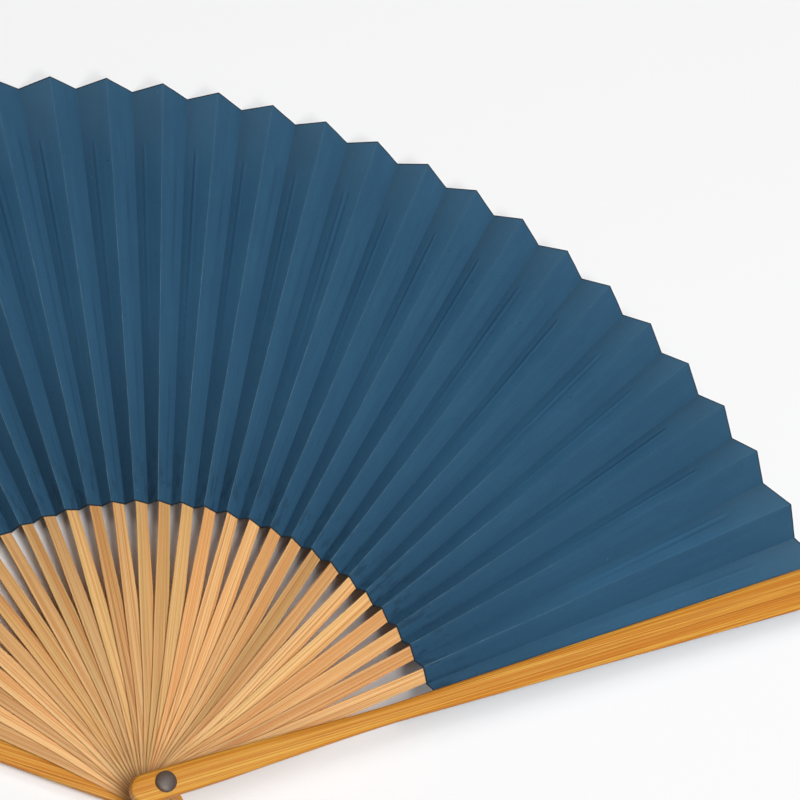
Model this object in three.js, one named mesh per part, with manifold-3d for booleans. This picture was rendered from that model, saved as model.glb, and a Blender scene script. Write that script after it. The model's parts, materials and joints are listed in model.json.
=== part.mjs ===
import * as THREE from 'three';
import { mergeVertices } from 'three/addons/utils/BufferGeometryUtils.js';
import Module from 'manifold-3d';

// Folding fan, lying open: bamboo ribs and two guards turn on one pivot pin, and a pleated paper leaf
// of two sheets holds the thin rib blades between them. Millimetres, +Z up.
// A stick is drawn in its own frame: x to its right, y away from the pin, z up along the pin.

// Leaf, measured from the pin
const LEAF_OUTER = 200;
const LEAF_INNER = 74.8;
const PAPER = 0.12;
const SHEET_GAP = 0.02;
const GLUE_GAP = 0.05;
const RIB_ROOM = 0.04;
const RIB_ROOM_ASIDE = 0.1;

// Pleats: each rib carries one panel that slopes down to its right; those at the guards are a little wider
const RIB_COUNT = 30;
const PLEAT_ANGLE = THREE.MathUtils.degToRad(4.565);
const END_PLEAT = 1.13;
const GUARD_PLEAT = 1.25;
const PANEL_SHARE_INNER = 0.68;
const PANEL_SHARE_OUTER = 0.53;
const PLEAT_HEIGHT_INNER = 2.35;
const PLEAT_HEIGHT_OUTER = 5.96;

// Inner ribs
const RIB_TIP = 184;
const RIB_POCKET = 185;
const RIB_EYE_WIDTH = 6.2;
const RIB_WIDTH = 4;
const RIB_TIP_WIDTH = 2;
const RIB_THICKNESS = 0.34;
const RIB_LEAF_THICKNESS = 0.3;
const RIB_TIP_THICKNESS = 0.14;
const RIB_TAIL = 8;
const RIB_NECK_END = 30;
const RIB_TWIST_START = 10;
const RIB_TWIST_STEPS = 6;
const STACK_STEP = 0.45;

// Round ends at the pin: where the eye's full width ends, the half width of the small flat at its tail,
// and where the rows of the round lie between the tail and the round's centre
const EYE_END = 2;
const END_FLAT = 0.6;
const RIB_ROUND_ROWS = [0, 0.35, 1];
const GUARD_ROUND_ROWS = [0, 0.3, 0.65, 1];

// Guards: a thick boss at the pin, then a blade that is recessed and splayed outward for the folded leaf,
// with the rounded outer face of split bamboo
const GUARD_TIP = 201;
const GUARD_TAIL = 8.6;
const GUARD_EYE_WIDTH = 7.2;
const GUARD_WAIST = 62;
const GUARD_WAIST_WIDTH = 4.6;
const GUARD_TIP_WIDTH = 11.4;
const GUARD_THICKNESS = 3;
const GUARD_RECESS = 0.78;
const GUARD_INNER_SPLAY = THREE.MathUtils.degToRad(0.823);
const GUARD_OUTER_SPLAY = THREE.MathUtils.degToRad(0.716);
const GUARD_BOSS_END = 14;
const GUARD_RECESS_START = 26;
const GUARD_FLAT_SHARE = 0.5;
const GUARD_CROWN_SHARE = 0.86;
const GUARD_CROWN = 0.28;
const GUARD_EDGE = 0.7;
const GUARD_TIP_ROUND = 2.4;
const GUARD_TIP_TURNS = [0, 30, 60, 85];
const GUARD_WAIST_STEPS = 3;

// Pivot pin
const PIN_RADIUS = 1;
const PIN_CLEARANCE = 0.06;
const PIN_HEAD_RADIUS = 2.6;
const PIN_HEAD_HEIGHT = 0.9;
const PIN_SIDES = 20;
const PIN_DOME_TURNS = [62, 34, 8];
const DRILL_LENGTH = 20;
const STACK_GAP = 0.11;

// The open fan rests on its pleats and its pin, so the pin leans a little
const LEAN_SIDE = THREE.MathUtils.degToRad(1.66);
const LEAN_FORWARD = THREE.MathUtils.degToRad(-2.17);

const LEAF_BLUE = '#2f587a';
const BAMBOO_HUE = 0.097;
const BAMBOO_HUE_SPREAD = 0.012;
const BAMBOO_LIGHT = 0.6;
const BAMBOO_LIGHT_SPREAD = 0.05;
const GUARD_ORANGE = '#c98a45';
const PIN_BROWN = '#3b2a1e';

const wasm = await Module();
wasm.setup();

const lerp = THREE.MathUtils.lerp;
const firstRibZ = GUARD_THICKNESS + STACK_GAP + RIB_THICKNESS / 2;
const lastRibZ = firstRibZ + (RIB_COUNT - 1) * STACK_STEP;
const topGuardZ = lastRibZ + RIB_THICKNESS / 2 + STACK_GAP;
const stackHeight = topGuardZ + GUARD_THICKNESS;

// Angle of a stick from the fan's middle, clockwise from above.
// Stick 0 is the lower guard, then come the ribs, and stick RIB_COUNT + 1 is the upper guard.
function stickAngle(index) {
  const fromMiddle = index - (RIB_COUNT + 1) / 2;
  const lastRib = (RIB_COUNT - 1) / 2;
  let pleats = Math.abs(fromMiddle);
  if (pleats > lastRib) {
    pleats += GUARD_PLEAT - 1;
  }
  if (Math.abs(fromMiddle) >= lastRib) {
    pleats += END_PLEAT - 1;
  }
  return Math.sign(fromMiddle) * pleats * PLEAT_ANGLE;
}

function ribZ(index) {
  return firstRibZ + (index - 1) * STACK_STEP;
}

// Takes a point from a stick's frame to the fan's
function atStick(point, index, z) {
  const up = new THREE.Vector3(0, 0, 1);
  return point.clone().applyAxisAngle(up, -stickAngle(index)).setZ(point.z + z);
}

// A closed slab between two sheets of points. Each row runs left to right and rows run outward;
// a cell is a pair of points, [top, bottom].
function slab(rows) {
  const columns = rows[0].length;
  const points = rows.flat(2);
  const at = (row, column, side) => 2 * (row * columns + column) + side;
  const triangles = [];
  const quad = (a, b, c, d) => triangles.push(a, b, c, a, c, d);
  for (let r = 0; r + 1 < rows.length; r += 1) {
    for (let c = 0; c + 1 < columns; c += 1) {
      quad(at(r, c, 0), at(r, c + 1, 0), at(r + 1, c + 1, 0), at(r + 1, c, 0));
      triangles.push(at(r, c, 1), at(r + 1, c + 1, 1), at(r, c + 1, 1));
      triangles.push(at(r, c, 1), at(r + 1, c, 1), at(r + 1, c + 1, 1));
    }
    const right = columns - 1;
    quad(at(r, 0, 0), at(r + 1, 0, 0), at(r + 1, 0, 1), at(r, 0, 1));
    quad(at(r, right, 0), at(r, right, 1), at(r + 1, right, 1), at(r + 1, right, 0));
  }
  const last = rows.length - 1;
  for (let c = 0; c + 1 < columns; c += 1) {
    quad(at(0, c, 0), at(0, c, 1), at(0, c + 1, 1), at(0, c + 1, 0));
    quad(at(last, c, 0), at(last, c + 1, 0), at(last, c + 1, 1), at(last, c, 1));
  }
  const geometry = new THREE.BufferGeometry().setFromPoints(points);
  geometry.setIndex(triangles);
  return geometry;
}

function toSolid(geometry) {
  const bare = geometry.clone();
  bare.deleteAttribute('normal');
  bare.deleteAttribute('uv');
  const merged = mergeVertices(bare, 1e-5);
  const vertProperties = new Float32Array(merged.attributes.position.array);
  const triVerts = new Uint32Array(merged.index.array);
  return new wasm.Manifold(new wasm.Mesh({ numProp: 3, vertProperties, triVerts }));
}

function toGeometry(solid) {
  const mesh = solid.getMesh();
  const geometry = new THREE.BufferGeometry();
  geometry.setAttribute('position', new THREE.BufferAttribute(mesh.vertProperties, 3));
  geometry.setIndex(new THREE.BufferAttribute(mesh.triVerts, 1));
  return geometry;
}

// Drills the pin's hole through a stick
function drilled(geometry) {
  const radius = PIN_RADIUS + PIN_CLEARANCE;
  const drill = new THREE.CylinderGeometry(radius, radius, DRILL_LENGTH, PIN_SIDES);
  drill.rotateX(Math.PI / 2);
  return toGeometry(toSolid(geometry).subtract(toSolid(drill)));
}

// Half width of a stick's round end, for a given distance before its pin
function roundEnd(y, tail, width) {
  const centre = width / 2 - tail;
  if (y >= centre) {
    return width / 2;
  }
  return Math.max(Math.sqrt((width / 2) ** 2 - (centre - y) ** 2), END_FLAT);
}

// The two creases of a rib's panel, in the stick's frame: along is 0 at the leaf's inner edge, 1 at its outer
function panelLines(along) {
  const corner = (radius, share, height, side) => {
    const half = (share / 2) * PLEAT_ANGLE * side;
    return new THREE.Vector3(radius * Math.sin(half), radius * Math.cos(half), (-height / 2) * side);
  };
  const crease = (side) =>
    corner(LEAF_INNER, PANEL_SHARE_INNER, PLEAT_HEIGHT_INNER, side).lerp(
      corner(LEAF_OUTER, PANEL_SHARE_OUTER, PLEAT_HEIGHT_OUTER, side),
      along,
    );
  return { mountain: crease(-1), valley: crease(1) };
}

function leafShare(radius) {
  return (radius - LEAF_INNER) / (LEAF_OUTER - LEAF_INNER);
}

function panelRoll(along) {
  const { mountain, valley } = panelLines(along);
  return Math.atan2(mountain.z - valley.z, valley.x - mountain.x);
}

// The rib blade inside the leaf tapers evenly from the leaf's inner edge to its tip
function bladeShare(radius) {
  return (radius - LEAF_INNER) / (RIB_TIP - LEAF_INNER);
}

function bladeHalfWidth(radius) {
  return lerp(RIB_WIDTH, RIB_TIP_WIDTH, bladeShare(radius)) / 2;
}

function bladeThickness(radius) {
  return lerp(RIB_LEAF_THICKNESS, RIB_TIP_THICKNESS, bladeShare(radius));
}

// One row of a flat strip: its width lies across the stick, rolled down to the right
function strip(y, halfWidth, thickness, roll) {
  const across = new THREE.Vector3(Math.cos(roll), 0, -Math.sin(roll)).multiplyScalar(halfWidth);
  const up = new THREE.Vector3(Math.sin(roll), 0, Math.cos(roll)).multiplyScalar(thickness / 2);
  const middle = new THREE.Vector3(0, y, 0);
  return [-1, 1].map((side) => {
    const edge = middle.clone().addScaledVector(across, side);
    return [edge.clone().add(up), edge.clone().sub(up)];
  });
}

// Where the rows of a stick's round end lie
function roundRows(tail, width, shares) {
  return [...shares.map((share) => lerp(-tail, width / 2 - tail, share)), EYE_END];
}

// An inner rib: a flat eye round the pin, a shank that twists from flat into its pleat,
// and a thin blade in the leaf
function ribGeometry() {
  const rows = [];
  for (const y of roundRows(RIB_TAIL, RIB_EYE_WIDTH, RIB_ROUND_ROWS)) {
    rows.push(strip(y, roundEnd(y, RIB_TAIL, RIB_EYE_WIDTH), RIB_THICKNESS, 0));
  }
  const innerRow = panelLines(0).mountain.y;
  for (let step = 0; step <= RIB_TWIST_STEPS; step += 1) {
    const y = lerp(RIB_TWIST_START, innerRow, step / RIB_TWIST_STEPS);
    const roll = panelRoll(0) * THREE.MathUtils.smoothstep(y, RIB_TWIST_START, innerRow);
    const neck = THREE.MathUtils.smoothstep(y, 0, RIB_NECK_END);
    const halfWidth = lerp(RIB_EYE_WIDTH, RIB_WIDTH, neck) / 2;
    const thickness = lerp(RIB_THICKNESS, RIB_LEAF_THICKNESS, step / RIB_TWIST_STEPS);
    rows.push(strip(y, halfWidth, thickness, roll));
  }
  const tip = leafShare(RIB_TIP);
  const tipRow = panelLines(tip).mountain.y;
  rows.push(strip(tipRow, RIB_TIP_WIDTH / 2, RIB_TIP_THICKNESS, panelRoll(tip)));
  return drilled(slab(rows));
}

function guardHalfWidth(y) {
  if (y < 0) {
    return roundEnd(y, GUARD_TAIL, GUARD_EYE_WIDTH);
  }
  if (y < GUARD_WAIST) {
    const neck = THREE.MathUtils.smoothstep(y, EYE_END, GUARD_WAIST);
    return lerp(GUARD_EYE_WIDTH, GUARD_WAIST_WIDTH, neck) / 2;
  }
  const blade = (y - GUARD_WAIST) / (GUARD_TIP - GUARD_WAIST);
  return lerp(GUARD_WAIST_WIDTH, GUARD_TIP_WIDTH, blade) / 2;
}

// Distances of a guard's inner and outer faces from the inner face of its boss
function guardInner(y) {
  const step = THREE.MathUtils.clamp((y - GUARD_BOSS_END) / (GUARD_RECESS_START - GUARD_BOSS_END), 0, 1);
  return GUARD_RECESS * step + Math.max(y - GUARD_RECESS_START, 0) * Math.tan(GUARD_INNER_SPLAY);
}

function guardOuter(y) {
  return GUARD_THICKNESS + Math.max(y - GUARD_BOSS_END, 0) * Math.tan(GUARD_OUTER_SPLAY);
}

// One row of a guard, left to right, with its outer face rounded off towards both edges
function guardRow(y, halfWidth, outerUp) {
  const half = [[1, GUARD_EDGE], [GUARD_CROWN_SHARE, GUARD_CROWN], [GUARD_FLAT_SHARE, 0]];
  const left = half.map(([share, drop]) => [-share, drop]);
  const right = half.toReversed();
  return [...left, ...right].map(([share, drop]) => {
    const outer = guardOuter(y) - drop;
    const inner = guardInner(y);
    const top = new THREE.Vector3(share * halfWidth, y, outerUp ? outer : -inner);
    const bottom = top.clone().setZ(outerUp ? inner : -outer);
    return [top, bottom];
  });
}

// A guard with its outer face up or down; z = 0 is the inner face of its boss
function guardGeometry(outerUp) {
  const rows = [];
  for (const y of roundRows(GUARD_TAIL, GUARD_EYE_WIDTH, GUARD_ROUND_ROWS)) {
    rows.push(guardRow(y, guardHalfWidth(y), outerUp));
  }
  rows.push(guardRow(GUARD_BOSS_END, guardHalfWidth(GUARD_BOSS_END), outerUp));
  for (let step = 0; step <= GUARD_WAIST_STEPS; step += 1) {
    const y = lerp(GUARD_RECESS_START, GUARD_WAIST, step / GUARD_WAIST_STEPS);
    rows.push(guardRow(y, guardHalfWidth(y), outerUp));
  }
  const tipStart = GUARD_TIP - GUARD_TIP_ROUND;
  for (const turn of GUARD_TIP_TURNS) {
    const angle = THREE.MathUtils.degToRad(turn);
    const y = tipStart + GUARD_TIP_ROUND * Math.sin(angle);
    const halfWidth = guardHalfWidth(tipStart) - GUARD_TIP_ROUND * (1 - Math.cos(angle));
    rows.push(guardRow(y, halfWidth, outerUp));
  }
  return drilled(slab(rows));
}

// The leaf's middle surface along one row, left to right: points with half the room inside the leaf there
function leafRow(radius) {
  const along = leafShare(radius);
  const { mountain, valley } = panelLines(along);
  const line = [];
  const guardHalf = guardHalfWidth(Math.min(radius, GUARD_TIP - GUARD_TIP_ROUND));
  const guardEdge = (index, side, z) => {
    const edge = new THREE.Vector3(side * guardHalf, radius, 0);
    line.push({ point: atStick(edge, index, z), room: SHEET_GAP });
  };
  const glued = GLUE_GAP + PAPER + SHEET_GAP;
  const lowerZ = GUARD_THICKNESS - guardInner(radius) + glued;
  const upperZ = topGuardZ + guardInner(radius) - glued;
  guardEdge(0, -1, lowerZ);
  guardEdge(0, 1, lowerZ);
  const middle = mountain.clone().lerp(valley, 0.5);
  const across = valley.clone().sub(mountain).normalize();
  const bladeSide = bladeHalfWidth(Math.min(radius, RIB_POCKET)) + RIB_ROOM_ASIDE;
  const pocket = bladeThickness(radius) / 2 / Math.cos(panelRoll(along)) + RIB_ROOM;
  const thick = radius > RIB_POCKET ? SHEET_GAP : Math.max(pocket, SHEET_GAP);
  for (let rib = 1; rib <= RIB_COUNT; rib += 1) {
    const z = ribZ(rib);
    line.push({ point: atStick(mountain, rib, z), room: SHEET_GAP });
    for (const side of [-1, 1]) {
      const edge = middle.clone().addScaledVector(across, side * bladeSide);
      line.push({ point: atStick(edge, rib, z), room: thick });
    }
    line.push({ point: atStick(valley, rib, z), room: SHEET_GAP });
  }
  guardEdge(RIB_COUNT + 1, -1, upperZ);
  guardEdge(RIB_COUNT + 1, 1, upperZ);
  return line;
}

// One paper sheet of the leaf, above or below the rib blades
function sheetGeometry(side) {
  const raise = (point, z) => point.clone().setZ(point.z + z);
  const rows = [LEAF_INNER, RIB_POCKET, LEAF_OUTER].map((radius) =>
    leafRow(radius).map(({ point, room }) => {
      const faces = [raise(point, side * room), raise(point, side * (room + PAPER))];
      return side > 0 ? faces.reverse() : faces;
    }),
  );
  return slab(rows);
}

// The pin with its two domed heads, turned about its own axis
function pinGeometry() {
  const head = (z, way) => {
    const points = [new THREE.Vector2(0, z + way * PIN_HEAD_HEIGHT)];
    for (const turn of PIN_DOME_TURNS) {
      const angle = THREE.MathUtils.degToRad(turn);
      const rise = way * PIN_HEAD_HEIGHT * Math.sin(angle);
      points.push(new THREE.Vector2(PIN_HEAD_RADIUS * Math.cos(angle), z + rise));
    }
    points.push(new THREE.Vector2(PIN_HEAD_RADIUS, z), new THREE.Vector2(PIN_RADIUS, z));
    return points;
  };
  const profile = [...head(-STACK_GAP, -1), ...head(stackHeight + STACK_GAP, 1).reverse()];
  const geometry = new THREE.LatheGeometry(profile, PIN_SIDES);
  geometry.rotateX(Math.PI / 2);
  return geometry;
}

function material(color, roughness) {
  return new THREE.MeshStandardMaterial({ color, roughness, metalness: 0 });
}

// Bamboo differs a little from rib to rib
function bamboo(index) {
  const hue = BAMBOO_HUE + BAMBOO_HUE_SPREAD * Math.sin(index * 2.4);
  const light = BAMBOO_LIGHT + BAMBOO_LIGHT_SPREAD * Math.sin(index * 5.1);
  return material(new THREE.Color().setHSL(hue, 0.5, light), 0.55);
}

const fan = new THREE.Group();

function addPiece(name, geometry, look, index = -1, z = 0) {
  const mesh = new THREE.Mesh(geometry, look);
  mesh.name = name;
  mesh.position.z = z;
  mesh.rotation.z = index < 0 ? 0 : -stickAngle(index);
  fan.add(mesh);
}

addPiece('lower_guard', guardGeometry(false), material(GUARD_ORANGE, 0.4), 0, GUARD_THICKNESS);
const rib = ribGeometry();
for (let index = 1; index <= RIB_COUNT; index += 1) {
  addPiece(`rib_${String(index).padStart(2, '0')}`, rib.clone(), bamboo(index), index, ribZ(index));
}
addPiece('upper_guard', guardGeometry(true), material(GUARD_ORANGE, 0.4), RIB_COUNT + 1, topGuardZ);
addPiece('leaf_front_sheet', sheetGeometry(1), material(LEAF_BLUE, 0.85));
addPiece('leaf_back_sheet', sheetGeometry(-1), material(LEAF_BLUE, 0.85));
addPiece('pivot_pin', pinGeometry(), material(PIN_BROWN, 0.5));

// Lies on z = 0, with the middle of its outline over the origin
fan.rotation.set(LEAN_FORWARD, LEAN_SIDE, 0);
fan.updateMatrixWorld(true);
const box = new THREE.Box3().setFromObject(fan, true);
const middle = box.getCenter(new THREE.Vector3());
fan.position.set(-middle.x, -middle.y, -box.min.z);

export default fan;
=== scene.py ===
"""Folding fan: thirty bamboo ribs and two guards on one pin, with a pleated paper leaf."""
import json
import math
from types import SimpleNamespace

import bmesh
import bpy
import numpy as np
from bpy.props import FloatProperty, FloatVectorProperty, PointerProperty
from mathutils import Matrix, Vector

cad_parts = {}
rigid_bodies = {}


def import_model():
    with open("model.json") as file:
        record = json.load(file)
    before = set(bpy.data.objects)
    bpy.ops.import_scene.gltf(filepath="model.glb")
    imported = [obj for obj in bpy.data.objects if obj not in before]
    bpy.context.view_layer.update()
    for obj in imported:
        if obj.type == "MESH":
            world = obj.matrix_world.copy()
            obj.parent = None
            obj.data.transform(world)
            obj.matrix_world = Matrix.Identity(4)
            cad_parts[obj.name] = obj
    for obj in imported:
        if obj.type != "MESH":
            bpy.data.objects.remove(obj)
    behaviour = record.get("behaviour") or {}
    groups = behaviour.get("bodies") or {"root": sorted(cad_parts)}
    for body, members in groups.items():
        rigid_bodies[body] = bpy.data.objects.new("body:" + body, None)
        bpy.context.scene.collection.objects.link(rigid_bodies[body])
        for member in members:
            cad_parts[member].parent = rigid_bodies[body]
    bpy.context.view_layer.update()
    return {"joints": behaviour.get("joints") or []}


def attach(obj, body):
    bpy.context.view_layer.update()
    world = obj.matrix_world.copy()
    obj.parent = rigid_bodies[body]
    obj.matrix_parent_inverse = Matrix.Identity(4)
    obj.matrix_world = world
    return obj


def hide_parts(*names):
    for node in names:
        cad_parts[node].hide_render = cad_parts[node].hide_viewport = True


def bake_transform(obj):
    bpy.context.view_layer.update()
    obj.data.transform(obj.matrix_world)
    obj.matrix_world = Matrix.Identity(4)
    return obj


bl_info = {
    "name": "Folding fan",
    "version": (1, 0, 0),
    "blender": (4, 5, 0),
    "location": "View3D > Sidebar > Fan",
    "description": "Dresses a folding fan's frame with bamboo sticks and a pleated paper leaf",
    "category": "Object",
}

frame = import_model()
HINGES = frame["joints"]
STICKS = [HINGES[0]["parent"], *(hinge["child"] for hinge in HINGES)]
LAST = len(STICKS) - 1
PIN_AXIS = Vector(HINGES[0]["axis"])
PIN_MIDDLE = Vector(HINGES[0]["pos_m"])
LEAN = (
    Matrix.Rotation(math.atan2(-PIN_AXIS.y, PIN_AXIS.z), 3, "X")
    @ Matrix.Rotation(math.asin(PIN_AXIS.x), 3, "Y")
)
SEED = 7

# Leaf, in metres: spread of the outer crease ends across and along the pin, and a reach across a pleat from
# the middle of its inner creases, to two points that are worked out but not used
CREASE_STRAY = 0.0001
CREASE_LIFT = 0.00006
BEND_REACH = 0.0008
# Columns of a pleat's blank: its valley, its mountain and its right end
VALLEY, MOUNTAIN, RIGHT_END = 3.0, 7.0, 10.0
# Most of a half panel that its blade takes, and most of the rest that the ramp beside the blade takes
BLADE_MOST = 0.86
RAMP_MOST = 0.6
# How much further apart the sloping sheets are along the pin than square to the paper, and the share
# of the leaf's depth in which the swell over a blade's tip comes down
SLOPE_STRETCH = 1.2
SWELL_END = 0.008
# How fast the paleness of the free panels next to a guard falls off from pleat to pleat, and the least and
# the most of a pleat's share to the right, which sets the painted light and shade on the panels
GUARD_NEARNESS_FALL = 0.35
RIGHT_SHARE_RANGE = (0.35, 0.88)

# Sticks: rows where a rib thins to its blade, in metres from the leaf's inner edge, and its uneven shaving
SHOULDER_ROWS = (-0.0035, -0.0027, -0.002, -0.0012, -0.0004, 0.001)
UNEVENNESS = 0.0002
# Guards: where the neck starts, where the crown starts to fall as a share of the half width, and its power
NECK_START = 0.002
CROWN_START = 0.42
CROWN_POWER = 2.1
# How far round its corners a guard's tip goes before its flat end, and the rim value of a guard's
# edges, which are less dark than a rib's, with 1; the dark at a guard's edges is partly painted shade
CORNER_END = 0.996
GUARD_RIM = 0.97
GUARD_TONES = {0: 0.74, LAST: 0.31}
# Pin: height of a head's straight rim, in metres, sides of the round, and turns of the dome's rings
HEAD_RIM = 0.00018
PIN_SIDES = 48
DOME_TURNS = (78, 66, 54, 42, 30, 18, 6)

# Lights: power in watts, direction from +X and height in degrees; the point that they face
LIGHTS = {"top": (11.2, 0, 88), "right": (10.1, 40, 65), "front": (11.2, -66, 48), "near": (29.2, -74, 74)}
LIGHT_TARGET = Vector((0.03, 0.03, 0.0))
# Floor: how far it lies under the fan, in metres, and its colour far away
FLOOR_DROP = 0.0001
FAR_FLOOR = (0.94, 0.94, 0.945)
# Camera: place and target in metres, roll in degrees, lens and sensor in millimetres
CAMERA_PLACE = Vector((-0.09599, -0.19106, 0.49371))
CAMERA_TARGET = Vector((0.0684, 0.0121, 0.008))
CAMERA_ROLL = 39.484
CAMERA_LENS = 90.89
SENSOR_WIDTH = 36
CLIP_RANGE = (0.01, 50)


def number(name, description, default, **options):
    """A number in the panel."""
    return FloatProperty(name=name, description=description, default=default, **options)


def length(name, description, millimetres):
    """A size in the panel, written here in millimetres."""
    return number(name, description, millimetres / 1000, min=0, precision=5, unit="LENGTH")


def angle(name, description, degrees):
    """An angle in the panel, written here in degrees."""
    turn = math.radians(degrees)
    return number(name, description, turn, precision=3, subtype="ANGLE", unit="ROTATION")


def factor(name, description, value):
    """A plain share or strength in the panel."""
    return number(name, description, value, min=0, precision=3, subtype="FACTOR")


def colour(name, description, *rgb):
    """A colour in the panel, in linear values."""
    return FloatVectorProperty(
        name=name, description=description, default=rgb, size=3, min=0, max=1, subtype="COLOR",
    )


class LeafSizes(bpy.types.PropertyGroup):
    """Sizes of the pleated paper leaf."""
    outer: length("Outer radius", "From the pin to the leaf's outer edge", 200)
    inner: length("Inner radius", "From the pin to the leaf's inner edge", 74.8)
    paper: length("Paper", "Thickness of one sheet", 0.05)
    glue: length("Glue", "Half the gap between the sheets beside a blade", 0.004)
    pitch: angle("Pleat", "Angle from one rib to the next in the open fan", 4.565)
    end_pitch: factor("End pleat", "Width of the pleat before the last rib, in pleats", 1.13)
    guard_pitch: factor("Guard pleat", "Width of the pleat at a guard, in pleats", 1.25)
    share_inner: factor("Inner share", "Share of a pleat on its rib, at the inner edge", 0.68)
    share_outer: factor("Outer share", "Share of a pleat on its rib, at the outer edge", 0.53)
    height_inner: length("Inner height", "Height of a pleat at the inner edge", 2.35)
    height_outer: length("Outer height", "Height of a pleat at the outer edge", 5.96)
    swell: length("Swell", "Room for a rib's blade between the sheets", 0.17)
    swell_tip: length("Swell at the tip", "Room for a blade's tip", 0.1)
    ramp: length("Ramp", "Width over which the paper comes down beside a blade", 0.55)
    wander: length("Wander", "How far a crease strays from straight", 0.16)
    sag: length("Sag", "How far a panel bows between its rib and a crease", 0.22)
    margin: length("Margin", "Bare edge of a guard beside the leaf that is glued to it", 0.35)


class StickSizes(bpy.types.PropertyGroup):
    """Sizes of the ribs, the guards and the pin."""
    step: length("Stack step", "Height from one rib to the next along the pin", 0.45)
    gap: length("Stack gap", "Room between a guard's boss and the next rib", 0.11)
    rib_eye: length("Rib eye", "Width of a rib at the pin", 6.2)
    rib_width: length("Rib width", "Width of a rib where it enters the leaf", 4)
    rib_tip_width: length("Rib tip width", "Width of a blade's tip", 2)
    rib_thickness: length("Rib thickness", "Thickness of a rib at the pin", 0.34)
    rib_neck: length("Rib neck", "Thickness of a rib just below the leaf", 0.3)
    rib_blade: length("Blade", "Thickness of a blade where it enters the leaf", 0.13)
    rib_tip_thickness: length("Blade tip", "Thickness of a blade's tip", 0.06)
    rib_tail: length("Rib tail", "From the pin to a rib's round end", 8)
    rib_tip: length("Rib tip", "From the pin to a blade's tip", 184)
    neck_end: length("Neck", "Where a rib has narrowed to its width", 30)
    twist_start: length("Twist start", "Where a rib starts to roll into its pleat", 30)
    guard_tip: length("Guard tip", "From the pin to a guard's tip", 201)
    guard_tail: length("Guard tail", "From the pin to a guard's round end", 8.6)
    guard_eye: length("Guard eye", "Width of a guard at the pin", 7.2)
    guard_waist: length("Guard waist", "Where a guard is narrowest", 62)
    guard_waist_width: length("Waist width", "Width of a guard at its waist", 4.6)
    guard_tip_width: length("Guard tip width", "Width of a guard at its tip", 11.4)
    guard_thickness: length("Guard thickness", "Thickness of a guard at the pin", 3)
    recess: length("Recess", "Step in a guard's inner face, for the leaf", 0.78)
    recess_start: length("Recess start", "Where the recess has its depth", 26)
    boss_end: length("Boss end", "Where the flat boss round the pin ends", 14)
    inner_splay: angle("Inner splay", "Slope of a guard's inner face", 0.823)
    outer_splay: angle("Outer splay", "Slope of a guard's outer face", 0.716)
    crown: length("Crown", "How far a guard's outer face falls towards its edges", 0.7)
    tip_round: length("Tip rounding", "Radius at the corners of a guard's tip", 2.4)
    end_flat: length("End flat", "Half the flat at the end of a stick", 0.6)
    pin_radius: length("Pin radius", "Radius of the pin's shank", 1)
    hole_radius: length("Hole radius", "Radius of the holes for the pin", 1.06)
    head_radius: length("Head radius", "Radius of the pin's formed heads", 2.6)
    head_height: length("Head height", "Height of a pin head", 0.9)


class FanFinish(bpy.types.PropertyGroup):
    """Colours of the fan and the floor."""
    leaf: colour("Leaf", "Dyed paper", 0.0294, 0.0998, 0.1775)
    leaf_deep: colour("Leaf, deep", "Darker clouds and fibres in the paper", 0.0200, 0.0732, 0.1400)
    # The pressed colour also paints shade in the valleys, along the blades' edges and along the mountains;
    # the worn colour also paints sheen at the free panels' outer ends
    leaf_shadow: colour("Leaf, pressed and shaded", "Prints of the blades, dark specks, and painted shade in the valleys, along the blades' edges and along the mountains", 0.008, 0.034, 0.078)
    leaf_worn_and_sheen: colour("Leaf, worn and sheen", "Rubbed mountain folds, pale specks, dust and painted sheen", 0.115, 0.215, 0.290)
    leaf_cut: colour("Leaf, cut edge", "Edges of the paper", 0.014, 0.015, 0.017)
    # The pale and dark bamboo colours also paint a highlight and a shade on the sticks' rounded edges
    rib_pale: colour("Rib, pale", "Light fibres of the split bamboo", 0.760, 0.474, 0.208)
    rib_warm: colour("Rib, warm", "Orange tone of some ribs", 0.656, 0.292, 0.096)
    rib_olive: colour("Rib, olive", "Greenish tone of some ribs", 0.532, 0.353, 0.111)
    rib_line: colour("Rib, dark", "Dark fibres and edges", 0.370, 0.167, 0.053)
    guard: colour("Guard", "Varnished bamboo skin", 0.575, 0.205, 0.016)
    guard_pale: colour("Guard, pale", "Light fibres of the guards", 0.740, 0.395, 0.064)
    guard_line: colour("Guard, dark", "Dark fibres of the guards", 0.350, 0.105, 0.010)
    pin: colour("Pin", "Dark pin", 0.045, 0.024, 0.013)
    floor: colour("Floor", "Pale floor under the fan", 0.920, 0.920, 0.925)


class StageSizes(bpy.types.PropertyGroup):
    """Lights and floor."""
    lamp_size: length("Light size", "Width of a light", 800)
    lamp_distance: length("Light distance", "From the fan to a light", 2400)
    fill: factor("Fill light", "Strength of the light from all round", 0.04)
    floor_size: length("Floor", "Width of the floor", 8000)
    fade_start: length("Floor fade, start", "Where the floor starts to fade to white", 700)
    fade_end: length("Floor fade, end", "Where the floor is plain white", 1800)


for _key, (_watts, _turn, _rise) in LIGHTS.items():
    StageSizes.__annotations__ |= {
        _key + "_power": number(f"{_key.title()} light", "Power", _watts, min=0, unit="POWER"),
        _key + "_turn": angle(f"{_key.title()} light, turn", "Direction, from +X", _turn),
        _key + "_rise": angle(f"{_key.title()} light, rise", "Height above the floor", _rise),
    }


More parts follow.
